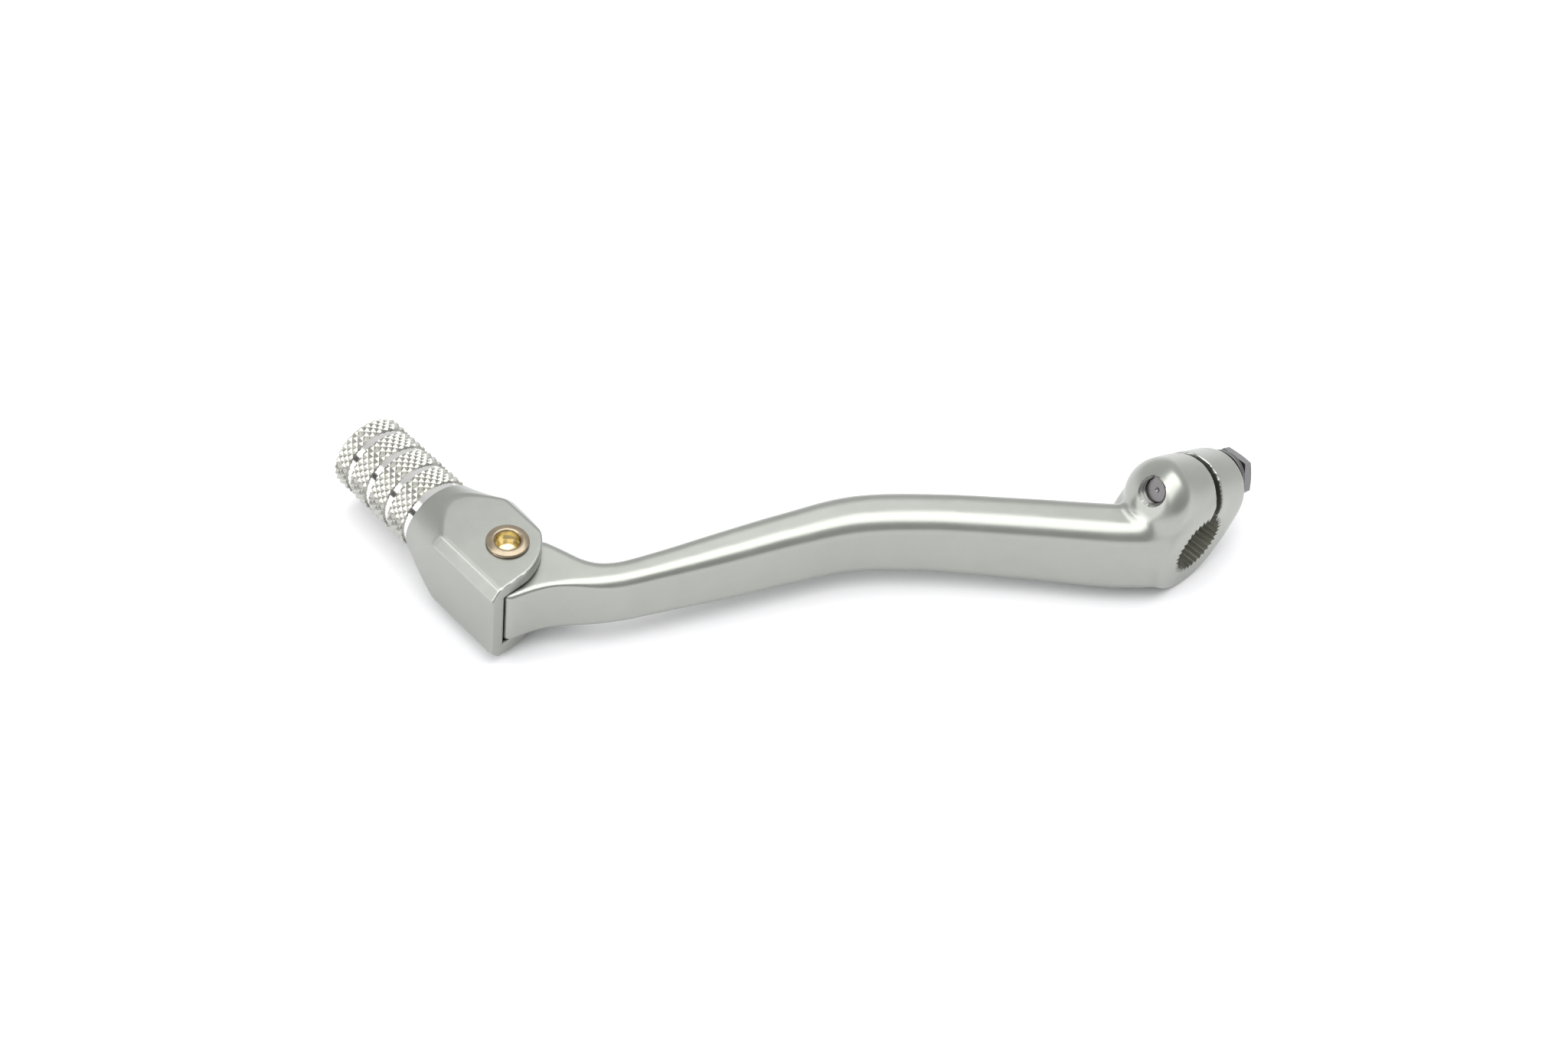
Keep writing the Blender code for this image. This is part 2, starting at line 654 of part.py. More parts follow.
satin_aluminium = material("satin_aluminium", (0.55, 0.57, 0.55), 1.0, 0.38)
bright_knurl = material("bright_knurl", (0.78, 0.78, 0.76), 1.0, 0.18)
yellow_zinc = material("yellow_zinc", (0.62, 0.47, 0.24), 1.0, 0.25)
hard_steel = material("hard_steel", (0.42, 0.42, 0.43), 1.0, 0.35)
zinc_steel = material("zinc_steel", (0.52, 0.50, 0.54), 1.0, 0.3)
black_steel = material("black_steel", (0.06, 0.06, 0.065), 1.0, 0.4)

lever_frame = empty("lever_frame", standing_offset())
tip_pivot = empty("tip_pivot", (0, 0, 0), lever_frame)

place(make_lever_arm(), lever_frame, satin_aluminium)
place(make_pinch_bolt(), lever_frame, zinc_steel)
place(make_spring_washer(), lever_frame, black_steel)
place(make_return_spring(), lever_frame, hard_steel)
place(make_tip_clevis(), tip_pivot, satin_aluminium)
place(make_toe_peg(), tip_pivot, bright_knurl)
place(make_pivot_rivet(), tip_pivot, yellow_zinc)
place(make_pivot_bush(), tip_pivot, hard_steel)
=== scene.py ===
"""Looks of the folding-tip gear-shift lever.

Lengths are in millimetres about the pivot rivet: its axis is Z, the toe peg points along +Y and the clamp
is towards +X. The forgings are fields of distance with blended shapes, and are meshed here. Holes, splines and
threads are then cut from those meshes. show() puts a finished mesh in the model's frame, in metres.
"""

import itertools
import json
import math

import bmesh
import bpy
import numpy as np
from mathutils import Matrix, Vector


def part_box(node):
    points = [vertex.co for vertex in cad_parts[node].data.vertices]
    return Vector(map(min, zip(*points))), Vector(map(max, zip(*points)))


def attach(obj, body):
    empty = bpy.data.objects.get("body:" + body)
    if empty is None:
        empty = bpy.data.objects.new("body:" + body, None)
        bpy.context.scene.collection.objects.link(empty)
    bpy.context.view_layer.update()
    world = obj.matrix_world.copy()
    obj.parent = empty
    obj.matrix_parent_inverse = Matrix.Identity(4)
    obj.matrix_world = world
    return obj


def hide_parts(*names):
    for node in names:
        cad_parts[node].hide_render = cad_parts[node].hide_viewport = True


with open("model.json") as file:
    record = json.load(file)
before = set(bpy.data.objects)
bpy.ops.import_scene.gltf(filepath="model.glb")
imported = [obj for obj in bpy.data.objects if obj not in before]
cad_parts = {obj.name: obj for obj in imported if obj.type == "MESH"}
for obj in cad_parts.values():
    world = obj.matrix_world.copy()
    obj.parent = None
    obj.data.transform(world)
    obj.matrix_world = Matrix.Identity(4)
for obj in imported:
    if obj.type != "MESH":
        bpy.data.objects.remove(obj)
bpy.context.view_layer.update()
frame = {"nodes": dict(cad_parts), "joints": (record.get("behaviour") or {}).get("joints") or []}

MM = 0.001
WHOLE = 2 * math.pi
PIVOT = Vector(frame["joints"][0]["pos_m"])
TO_MODEL = Matrix.Translation(PIVOT) @ Matrix.Scale(MM, 4)


def place_of(node):
    """The lowest and highest corner of a CAD node, in this script's millimetres."""
    low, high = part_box(node)
    return (low - PIVOT) / MM, (high - PIVOT) / MM


CLEVIS_LOW, CLEVIS_HIGH = place_of("tip_clevis")
PEG_LOW, PEG_HIGH = place_of("toe_peg")
RIVET_LOW, RIVET_HIGH = place_of("pivot_rivet")
ARM_LOW, ARM_HIGH = place_of("lever_arm")
SPRING_LOW, SPRING_HIGH = place_of("return_spring")

# Tip clevis.
CLEVIS_BACK_X = CLEVIS_LOW.x
CLEVIS_OPEN_X = CLEVIS_HIGH.x
CLEVIS_MIDDLE_X = (PEG_LOW.x + PEG_HIGH.x) / 2
CLEVIS_TOP = CLEVIS_HIGH.z
CLEVIS_NOSE_Y = CLEVIS_HIGH.y
CLEVIS_CORNER_RADIUS = 8.0
CLEVIS_CORNER = (-0.6, 0.2)
CLEVIS_SIDE_FACING = (0.972, -0.235)
CLEVIS_FRONT_FACING = (0.09, -0.996)
CLEVIS_CHAMFER = (2.0, 2.3)
CLEVIS_EDGE = 0.4
CLEVIS_BACK_EDGE = 0.5
CLEVIS_OPEN_EDGE = 1.0
NOSE_RADIUS = 8.2
NOSE_SPREAD = 0.28
NOSE_CURVE = 0.0105
NOSE_EDGE = 0.3
NOSE_STEEPNESS = 0.9
POCKET_HALF_HEIGHT = 6.6
POCKET_RADIUS = 7.4
POCKET_FACING = (-0.116, 0.993)
HOLE_EDGE = 0.3
CLEVIS_GRID_MARGIN = 0.8
CLEVIS_GRID_STEP = 0.27

# Toe peg.
PEG_RADIUS = (PEG_HIGH.x - PEG_LOW.x) / 2
PEG_TIP_Y = PEG_HIGH.y
PEG_BASE_Y = CLEVIS_NOSE_Y + 0.2
PEG_TIP_CHAMFER = 0.6
GROOVE_RADIUS = 7.55
GROOVE_WIDTH = 1.5
GROOVE_PITCH = 5.95
GROOVE_COUNT = 4
KNURL_STARTS = 30
KNURL_COLUMNS = 2 * KNURL_STARTS
KNURL_PITCH = 1.72
KNURL_DEPTH = 0.43
BAND_OVERLAP = 0.3
SPIGOT_RADIUS = 5.0
SPIGOT_LENGTH = 8.6
SPIGOT_PLAY = 0.2

# Pivot.
RIVET_RADIUS = 3.0
RIVET_PLAY = 0.2
RIVET_RECESS = 2.42
RIVET_HEAD_RADIUS = (RIVET_HIGH.x - RIVET_LOW.x) / 2
BUSH_RADIUS = 4.2
BUSH_PLAY = 0.15
EYE_RADIUS = 7.0
EYE_EDGE = 1.0
EYE_FRONT_Y = -8.8
EYE_FRONT_LEAN = 0.22
EYE_FRONT_ROUND = 1.4
EYE_FRONT_END_X = 3.8
EYE_FRONT_END_EDGE = 1.5
EYE_BLEND = 3.0
WEB_FACING = (0.97, 0.23)
WEB_PLACE = (8.9, -5.6)
WEB_START_X = 1.0
WEB_BACK_Y = -1.5
WEB_FRONT_Y = -9.5
SPRING_POCKET_TOP = -0.7
SPRING_POCKET_RADIUS = 5.75
SPRING_WIRE_RADIUS = 0.55
SPRING_MEAN_RADIUS = 4.95
SPRING_TURNS = 3.5
SPRING_PITCH = 1.25

# Clamp. EAR_MOUTH and EAR_SEAT are places along the bolt from the slit: its threaded end and its washer's seat.
CLAMP_X = 115.0
CLAMP_WIDTH = 17.2
CLAMP_MIDDLE_Y = ARM_LOW.y + CLAMP_WIDTH / 2
CLAMP_RADIUS = -ARM_LOW.z
SPLINE_TEETH = 34
SPLINE_ROOT_RADIUS = 7.05
SPLINE_TIP_RADIUS = 6.1
SPLINE_TOOTH = (
    (-0.4, SPLINE_TIP_RADIUS),
    (-0.05, SPLINE_ROOT_RADIUS),
    (0.05, SPLINE_ROOT_RADIUS),
    (0.4, SPLINE_TIP_RADIUS),
)
BORE_FLARE = 0.12
BOSS_EDGE = 1.1
BOSS_EDGE_GROWTH = 3.2
NEAR_FACE_EDGE = 0.8
HANDLE_END_EDGE = 3.0
HANDLE_BLEND = 2.0
SLIT_PLACE = 0.1
SLIT_WIDTH = 2.4
SLIT_EDGE = 0.2
BOLT_SLOPE = math.radians(25)
BOLT_OFFSET = 9.3
EAR_RADIUS = 8.45
EAR_OFFSET = 6.5
EAR_SHIFT = 0.2
EAR_MOUTH = -15.6
EAR_MOUTH_LIFT = 0.6
EAR_MOUTH_ROUND = 4.0
EAR_MOUTH_ROUND_GROWTH = 3.6
EAR_SEAT = 12.0
EAR_SEAT_EDGE = 0.8
EAR_FILLET = 1.0
EAR_FILLET_BY_THE_ARM = 1.6
EAR_FILLET_BY_THE_SEAT = 3.0
SEAT_RADIUS = 9.5
BOLT_LENGTH = 28.4
THREAD_RADIUS = 3.0
THREAD_DEPTH = 0.55
THREAD_PITCH = 1.0
THREAD_HOLE_PLAY = 0.1
THREAD_ROD_PLAY = 0.08
CLEARANCE_RADIUS = 3.2
COUNTERSINK_RADIUS = 4.2
COUNTERSINK_END_RADIUS = 2.6
COUNTERSINK_DEPTH = 0.6
HEAD_HEIGHT = 4.0
HEAD_CORNER_RADIUS = 5.77
HEAD_TURN = math.radians(30)
WASHER_INNER_RADIUS = 3.3
WASHER_OUTER_RADIUS = 5.6
WASHER_THICKNESS = 1.5
WASHER_RISE = 1.2
WASHER_OPENING = math.radians(12)
WASHER_PLAY = 0.2
UNDER_HEAD = EAR_SEAT + WASHER_THICKNESS + WASHER_RISE + 2 * WASHER_PLAY

# Arm stations from the eye to the clamp: centre x, centre y, thickness in plan, height.
ARM_STATIONS = (
    (1.0, -1.0, 12.0, 12.6),
    (5.1, -6.2, 10.2, 12.4),
    (8.5, -11.4, 7.5, 12.4),
    (13.6, -15.6, 6.5, 12.4),
    (22.0, -18.9, 6.9, 12.8),
    (35.0, -23.4, 8.2, 14.0),
    (48.0, -27.8, 9.0, 14.8),
    (61.0, -33.0, 10.0, 15.4),
    (73.5, -42.2, 10.0, 16.0),
    (87.5, -55.0, 10.3, 16.8),
    (99.5, -66.5, 10.6, 17.6),
    (106.5, -72.0, 10.8, 17.8),
    (112.0, -76.3, 11.0, 17.0),
)
ARM_END_EDGE = 2.0
ARM_EDGE_SHARE = 0.34
PATH_STEPS = 26

# The eye's edges are rounded by this share of the arm's, and the change happens over this span of x.
EYE_EDGE_SHARE = 0.25
EYE_EDGE_SPAN_X = (2.0, 13.0)

# Materials, in millimetres, and the part of a noise's range that the materials use.
MOTTLE_SIZE = 6.0
GRAIN_HEIGHT = 0.02
NOISE_LOW = 0.3
NOISE_HIGH = 0.7

# Studio, in metres: a soft box hangs over the lever, mostly to its left. The walls of the light tent brighten as
# the cosine to the window goes over WALL_SPAN. A light on the left and a small dark opening fade in between the
# first and the second of their angles, in degrees.
FLOOR_HALF_SIZE = 4.0
PAPER_COLOUR = (0.78, 0.78, 0.79, 1.0)
SOFTBOX_PLACE = (-0.58, -0.05, 1.0)
SOFTBOX_SIZE = (2.6, 1.22)
SOFTBOX_RADIANCE = 2.35
TENT_COLOUR = (0.99, 0.99, 1.0, 1.0)
WINDOW_SIDE = (0.74, 0.60, 0.30)
WALL_SPAN = (-0.6, 1.0)
WALL_LEVELS = (0.56, 0.9)
LEFT_LIGHT = (-0.80, 0.47, 0.37)
LEFT_LIGHT_ANGLES = (32, 14)
LEFT_LIGHT_LEVEL = 2.2
DARK_SIDE = (-0.757, 0.592, 0.276)
DARK_ANGLES = (11, 6)
DARK_LEVEL = 0.04

# Camera, in millimetres about the pivot, on a 36 mm sensor.
CAMERA_LENS = 50.98
CAMERA_PLACE = Vector((-182.45, -215.71, 317.38))
CAMERA_RIGHT = Vector((0.71949, -0.68508, 0.11398))
CAMERA_UP = Vector((0.44456, 0.58040, 0.68228))

ALONG_Y = Matrix.Rotation(math.radians(-90), 4, "X")
CLAMP_FRAME = Matrix.Translation((CLAMP_X, CLAMP_MIDDLE_Y, 0.0))
SLIT_FRAME = CLAMP_FRAME @ Matrix.Rotation(BOLT_SLOPE, 4, "Y")
ALONG_BOLT = Matrix.Rotation(math.radians(90), 4, "Y")
BOLT_FRAME = SLIT_FRAME @ Matrix.Translation((0, 0, BOLT_OFFSET)) @ ALONG_BOLT
PEG_FRAME = Matrix.Translation((CLEVIS_MIDDLE_X, 0, 0)) @ ALONG_Y


# --- Fields of distance -------------------------------------------------------------------------


def joined(a, b, blend):
    """The union of two fields, with a fillet."""
    share = np.clip(0.5 + 0.5 * (b - a) / blend, 0.0, 1.0)
    return b + (a - b) * share - blend * share * (1.0 - share)


def common(a, b, blend):
    """What two fields share, with a rounded edge."""
    return -joined(-a, -b, blend)


def less(a, b, blend):
    """The first field with the second taken away, with a rounded edge."""
    return -joined(-a, b, blend)


def corner(u, v, radius):
    """A corner of the region u < 0, v < 0, rounded by a radius."""
    u, v = u + radius, v + radius
    return np.hypot(np.maximum(u, 0.0), np.maximum(v, 0.0)) + np.minimum(np.maximum(u, v), 0.0) - radius


def facing(direction, u, v):
    """How far (u, v) lies along a direction in its plane."""
    return direction[0] * u + direction[1] * v


def ramp(value, start, end):
    """0 before start and 1 after end, with a smooth rise between."""
    t = np.clip((value - start) / (end - start), 0.0, 1.0)
    return t * t * (3.0 - 2.0 * t)


def between(before, start, end, after, t):
    """A Catmull-Rom value at t of the way from start to end."""
    linear = (end - before) / 2
    square = before - 2.5 * start + 2 * end - after / 2
    cube = 1.5 * (start - end) + (after - before) / 2
    return start + linear * t + square * t**2 + cube * t**3


def curve_through(stations, steps):
    """Rows of numbers along a smooth curve through the stations."""
    rows = []
    last = len(stations) - 1
    for i in range(last):
        around = [stations[min(max(i + k, 0), last)] for k in (-1, 0, 1, 2)]
        for j in range(steps):
            rows.append([between(*values, j / steps) for values in zip(*around)])
    rows.append(list(stations[last]))
    return np.array(rows)


class ArmPath:
    """The arm's path in plan, with its thickness and height at each place along it."""

    STRIDE = 8
    SAMPLES = 400
    EASING_ROUNDS = 6
    WELL_INSIDE = -9.0

    def __init__(self):
        rows = curve_through(ARM_STATIONS, PATH_STEPS)
        steps = np.linalg.norm(np.diff(rows[:, :2], axis=0), axis=1)
        length = np.concatenate([[0.0], np.cumsum(steps)])
        along = np.linspace(0.0, length[-1], self.SAMPLES)
        rows = np.stack([np.interp(along, length, column) for column in rows.T], axis=1)
        for _ in range(self.EASING_ROUNDS):
            rows[1:-1] = (rows[:-2] + 2 * rows[1:-1] + rows[2:]) / 4
        self.rows = rows
        tangent = np.gradient(rows[:, :2], along, axis=0)
        self.tangent = tangent / np.linalg.norm(tangent, axis=1, keepdims=True)
        self.normal = np.stack([-self.tangent[:, 1], self.tangent[:, 0]], axis=1)
        turn = np.gradient(self.tangent, along, axis=0)
        self.bend = (turn * self.normal).sum(axis=1)
        self.slope = np.gradient(rows[:, 2:], along, axis=0)

    def locate(self, x, y):
        """Distance across the path, half thickness and half height there, and distance past either end."""
        x, y = np.broadcast_arrays(x, y)
        flat = np.stack([x.ravel(), y.ravel()], axis=1)
        coarse = self.rows[:: self.STRIDE, :2]
        nearest = self.STRIDE * ((flat[:, None, :] - coarse[None]) ** 2).sum(axis=2).argmin(axis=1)
        around = nearest[:, None] + np.arange(-self.STRIDE, self.STRIDE + 1)[None]
        around = np.clip(around, 0, len(self.rows) - 1)
        reach = ((flat[:, None, :] - self.rows[around, :2]) ** 2).sum(axis=2).argmin(axis=1)
        nearest = around[np.arange(len(flat)), reach]
        away = flat - self.rows[nearest, :2]
        tangent, normal, bend = self.tangent[nearest], self.normal[nearest], self.bend[nearest]
        out = (away * normal).sum(axis=1)
        step = (away * tangent).sum(axis=1) / np.maximum(1.0 - bend * out, 0.2)
        past = np.where(nearest == len(self.rows) - 1, step, self.WELL_INSIDE)
        past = np.where(nearest == 0, -step, past)
        step = np.clip(step, -1.0, 1.0)
        across = out - 0.5 * bend * step**2
        size = self.rows[nearest, 2:] + self.slope[nearest] * step[:, None]
        return [v.reshape(x.shape) for v in (across, size[:, 0] / 2, size[:, 1] / 2, past)]


arm_path = ArmPath()


def eye_plan(x, y):
    """The eye in plan: round behind the rivet, square along the stop wall, with a front that leans out.

    A web fills the corner between the eye's back and the arm.
    """
    ring = np.hypot(x, y) - EYE_RADIUS
    front = (EYE_FRONT_Y - y - EYE_FRONT_LEAN * (x + EYE_RADIUS)) / math.hypot(1.0, EYE_FRONT_LEAN)
    block = corner(-x - EYE_RADIUS, front, EYE_FRONT_ROUND)
    block = common(block, x - EYE_FRONT_END_X, EYE_FRONT_END_EDGE)
    block = common(block, y, EYE_EDGE)
    web = common(facing(WEB_FACING, x - WEB_PLACE[0], y - WEB_PLACE[1]), y - WEB_BACK_Y, EYE_EDGE)
    web = common(web, WEB_START_X - x, EYE_EDGE)
    web = common(web, WEB_FRONT_Y - y, EYE_EDGE)
    return np.minimum(np.minimum(ring, block), web)


def handle_field(x, y, z):
    """The arm and its eye: joined in plan, then rounded along the top and bottom edges."""
    across, half_thick, half_high, past = arm_path.locate(x, y)
    bar = common(np.abs(across) - half_thick, past, ARM_END_EDGE)
    plan = joined(bar, eye_plan(x, y), EYE_BLEND)
    share = EYE_EDGE_SHARE + (1.0 - EYE_EDGE_SHARE) * ramp(x, *EYE_EDGE_SPAN_X)
    return corner(plan, np.abs(z) - half_high, 2 * half_thick * ARM_EDGE_SHARE * share)


def in_slit_frame(x, z):
    """How far a place lies along the bolt from the slit, and out from the bore's axis towards the bolt."""
    along = (x - CLAMP_X) * math.cos(BOLT_SLOPE) - z * math.sin(BOLT_SLOPE)
    out = (x - CLAMP_X) * math.sin(BOLT_SLOPE) + z * math.cos(BOLT_SLOPE)
    return along, out


def clamp_field(x, y, z):
    """The boss round the bore, and the drum that the two ears of the clamp are cut from.

    The boss's rim grows rounder up by the ears and on the far side, and the drum's mouth towards the far side.
    """
    dy = y - CLAMP_MIDDLE_Y
    along, out = in_slit_frame(x, z)
    rim_growth = np.maximum(ramp(out, 0.0, 7.0), ramp(dy - 0.3 * along, 1.0, 6.0))
    rim = BOSS_EDGE + BOSS_EDGE_GROWTH * rim_growth
    boss = corner(np.hypot(x - CLAMP_X, z) - CLAMP_RADIUS, np.abs(dy) - CLAMP_WIDTH / 2, rim)
    lift = EAR_MOUTH_LIFT * ramp(-along, 3.0, 12.0)
    drum = np.hypot(dy - EAR_SHIFT, out - EAR_OFFSET - lift) - EAR_RADIUS + lift
    mouth_round = EAR_MOUTH_ROUND + EAR_MOUTH_ROUND_GROWTH * ramp(dy, -3.0, 5.0)
    drum = corner(drum, EAR_MOUTH - along, mouth_round)
    drum = common(drum, along - EAR_SEAT, EAR_SEAT_EDGE)
    by_the_arm = ramp(-along, 4.0, 10.0) * ramp(-dy, -4.0, 2.0)
    by_the_seat = ramp(along, 4.0, 11.0)
    fillet = EAR_FILLET + EAR_FILLET_BY_THE_ARM * by_the_arm + EAR_FILLET_BY_THE_SEAT * by_the_seat
    return joined(boss, drum, fillet)


def lever_field(x, y, z):
    """The arm, its eye and the clamp, with the slit but without their holes."""
    handle = handle_field(x, y, z)
    near_face = CLAMP_MIDDLE_Y - CLAMP_WIDTH / 2 - y
    handle = common(handle, near_face, HANDLE_END_EDGE)
    lever = joined(handle, clamp_field(x, y, z), HANDLE_BLEND)
    lever = common(lever, near_face, NEAR_FACE_EDGE)
    along, out = in_slit_frame(x, z)
    slit = np.maximum(np.abs(along - SLIT_PLACE) - SLIT_WIDTH / 2, -out)
    return less(lever, slit, SLIT_EDGE)


def clevis_field(x, y, z):
    """The clevis, with its pocket for the eye and its holes for the rivet and the peg's spigot."""
    left = CLEVIS_BACK_X - x
    right = x - CLEVIS_OPEN_X
    u, v = x - CLEVIS_CORNER[0], y - CLEVIS_CORNER[1]
    front = corner(
        facing(CLEVIS_SIDE_FACING, u, v) - CLEVIS_CORNER_RADIUS,
        facing(CLEVIS_FRONT_FACING, u, v) - CLEVIS_CORNER_RADIUS,
        CLEVIS_CORNER_RADIUS,
    )
    up = np.abs(z) - CLEVIS_TOP
    lean_x, lean_z = CLEVIS_CHAMFER
    lean = math.hypot(lean_x, lean_z)
    chamfer_left = (lean_z * left + lean_x * up + lean_x * lean_z) / lean
    chamfer_right = (lean_z * right + lean_x * up + lean_x * lean_z) / lean
    back = np.maximum(CLEVIS_NOSE_Y - y, -2.0)
    nose = np.hypot(x - CLEVIS_MIDDLE_X, z) - (NOSE_RADIUS + NOSE_SPREAD * back + NOSE_CURVE * back**2)
    body = common(left, front, CLEVIS_BACK_EDGE)
    body = common(body, right, CLEVIS_OPEN_EDGE)
    for face in (up, chamfer_left, chamfer_right, NOSE_STEEPNESS * nose):
        body = common(body, face, CLEVIS_EDGE)
    body = common(body, y - CLEVIS_NOSE_Y, NOSE_EDGE)
    pocket = corner(-x - POCKET_RADIUS, facing(POCKET_FACING, x, y) - POCKET_RADIUS, POCKET_RADIUS)
    pocket = common(pocket, np.abs(z) - POCKET_HALF_HEIGHT, HOLE_EDGE)
    body = less(body, pocket, CLEVIS_EDGE)
    body = less(body, np.hypot(x, y) - RIVET_RADIUS - RIVET_PLAY, HOLE_EDGE)
    spigot = np.hypot(x - CLEVIS_MIDDLE_X, z) - SPIGOT_RADIUS - SPIGOT_PLAY
    spigot = common(spigot, CLEVIS_NOSE_Y - SPIGOT_LENGTH - SPIGOT_PLAY - y, SPIGOT_PLAY)
    return less(body, spigot, SPIGOT_PLAY)


def grid_line(*stations):
    """Grid positions from station to station, each given as a place and the spacing that follows it."""
    parts = []
    for (start, step), (end, _) in zip(stations, stations[1:]):
        parts.append(np.linspace(start, end, math.ceil((end - start) / step), endpoint=False))
    return np.concatenate([*parts, [stations[-1][0]]])


def meshed(field, lines):
    """A closed quad mesh of the surface where the field is 0: one point in each grid cell that it crosses."""
    values = field(lines[0][:, None, None], lines[1][None, :, None], lines[2][None, None, :])
    inside = values < 0
    cells = [n - 1 for n in values.shape]
    filled = np.zeros(cells, np.int8)
    for i, j, k in itertools.product((0, 1), repeat=3):
        filled += inside[i : cells[0] + i, j : cells[1] + j, k : cells[2] + k]
    base = np.argwhere((filled > 0) & (filled < 8))
    index = np.full(cells, -1)
    index[tuple(base.T)] = np.arange(len(base))
    total = np.zeros((len(base), 3))
    count = np.zeros((len(base), 1))
    unit = np.eye(3, dtype=int)
    for axis in range(3):
        u, v = unit[(axis + 1) % 3], unit[(axis + 2) % 3]
        for offset in (0 * u, u, v, u + v):
            near = values[tuple((base + offset).T)]
            far = values[tuple((base + offset + unit[axis]).T)]
            crossed = ((near < 0) != (far < 0))[:, None]
            share = (near / np.where(near == far, 1.0, near - far))[:, None]
            total += np.where(crossed, offset + share * unit[axis], 0.0)
            count += crossed
    share = total / count
    points = np.empty_like(share)
    for axis, line in enumerate(lines):
        start, end = line[base[:, axis]], line[base[:, axis] + 1]
        points[:, axis] = start + (end - start) * share[:, axis]
    quads = []
    for axis in range(3):
        u, v = unit[(axis + 1) % 3], unit[(axis + 2) % 3]
        shifted = np.roll(inside, -1, axis=axis)
        edges = np.argwhere(inside != shifted)
        ends = np.array(values.shape) - 1
        kept = (edges[:, axis] < ends[axis]) & ((edges * (u + v)).max(axis=1) > 0)
        kept &= ((edges + 1 - u - v) > 0).all(axis=1) & (edges < ends).all(axis=1)
        edges = edges[kept]
        ring = np.stack([index[tuple((edges - back).T)] for back in (u + v, v, 0 * u, u)], axis=1)
        outward = inside[tuple(edges.T)]
        quads.append(np.where(outward[:, None], ring, ring[:, ::-1]))
    return settled(field, points, np.concatenate(quads))


def settled(field, points, quads, rounds=4, evening_rounds=2, reach=0.02, longest=0.5):
    """The mesh with its points evened out and moved onto the surface itself."""
    ends = np.concatenate([quads[:, [0, 1]], quads[:, [1, 2]], quads[:, [2, 3]], quads[:, [3, 0]]])
    for turn in range(rounds):
        if turn < evening_rounds:
            mean = np.zeros_like(points)
            count = np.zeros((len(points), 1))
            for a, b in (ends.T, ends.T[::-1]):
                np.add.at(mean, a, points[b])
                np.add.at(count, a, 1.0)
            points = 0.5 * points + 0.5 * mean / count
        x, y, z = points.T
        value = field(x, y, z)
        further = [field(x + reach, y, z), field(x, y + reach, z), field(x, y, z + reach)]
        slope = np.stack([level - value for level in further], axis=1) / reach
        move = value / np.maximum((slope**2).sum(axis=1), 0.2)
        points = points - np.clip(move, -longest, longest)[:, None] * slope
    return points, quads


# --- Meshes -------------------------------------------------------------------------------------


def mesh_object(name, points, faces, matrix=None):
    """A new object in the scene, with its points moved by the matrix."""
    mesh = bpy.data.meshes.new(name)
    mesh.from_pydata([tuple(p) for p in points], [], [tuple(f) for f in faces])
    mesh.transform(matrix or Matrix())
    obj = bpy.data.objects.new(name, mesh)
    bpy.context.scene.collection.objects.link(obj)
    return obj


def turned(name, profile, matrix=None, steps=96):
    """A closed (radius, z) loop or an axis-to-axis line, turned about Z. It runs up the outside."""
    points, faces, rows = [], [], []
    for radius, z in profile:
        if radius < 1e-6:
            rows.append([len(points)] * steps)
            points.append((0.0, 0.0, z))
            continue
        rows.append(list(range(len(points), len(points) + steps)))
        for i in range(steps):
            angle = WHOLE * i / steps
            points.append((radius * math.cos(angle), radius * math.sin(angle), z))
    pairs = list(zip(rows, rows[1:]))
    if profile[0][0] > 1e-6:
        pairs.append((rows[-1], rows[0]))
    for near, far in pairs:
        for i in range(steps):
            j = (i + 1) % steps
            face = [near[i], near[j], far[j], far[i]]
            face = [p for k, p in enumerate(face) if p != face[k - 1]]
            if len(face) > 2:
                faces.append(face)
    return mesh_object(name, points, faces, matrix)


def plug(name, radius, low, high, matrix=None):
    """A plain cylinder from low to high along Z."""
    return turned(name, [(0.0, low), (radius, low), (radius, high), (0.0, high)], matrix)


def arc(centre, radius, start, end, steps=8):
    """(x, y) points on an arc between two angles in degrees, both included."""
    angles = [math.radians(start + (end - start) * i / steps) for i in range(steps + 1)]
    return [(centre[0] + radius * math.cos(a), centre[1] + radius * math.sin(a)) for a in angles]


def prism(name, outline, low, high, matrix=None):
    """An outline in the XY plane, anticlockwise, made solid from low to high along Z."""
    count = len(outline)
    points = [(x, y, z) for z in (low, high) for x, y in outline]
    faces = [(i, (i + 1) % count, (i + 1) % count + count, i + count) for i in range(count)]
    faces += [tuple(reversed(range(count))), tuple(range(count, 2 * count))]
    return mesh_object(name, points, faces, matrix)


def threaded(name, radius, low, high, matrix, steps=48, runout=1.0):
    """A rod with a thread that fades out at both ends, flat at the crests and the roots."""
    rows_per_pitch = 8
    depth = THREAD_DEPTH
    rows = round((high - low) / THREAD_PITCH * rows_per_pitch)
    points = [(0.0, 0.0, low)]
    for i in range(rows + 1):
        z = low + (high - low) * i / rows
        fade = min(1.0, (z - low) / runout, (high - z) / runout)
        for j in range(steps):
            phase = (z / THREAD_PITCH - j / steps) % 1.0
            groove = min(1.0, max(0.0, 1.25 - 2.7 * abs(phase - 0.5)))
            at = radius - depth * (1.0 - (1.0 - groove) * max(fade, 0.0))
            angle = WHOLE * j / steps
            points.append((at * math.cos(angle), at * math.sin(angle), z))
    points.append((0.0, 0.0, high))
    faces = []
    for i in range(rows):
        a = 1 + i * steps
        for j in range(steps):
            k = (j + 1) % steps
            faces.append((a + j, a + k, a + steps + k, a + steps + j))
    last = 1 + rows * steps
    for j in range(steps):
        k = (j + 1) % steps
        faces.append((0, 1 + k, 1 + j))
        faces.append((len(points) - 1, last + j, last + k))
    return mesh_object(name, points, faces, matrix)


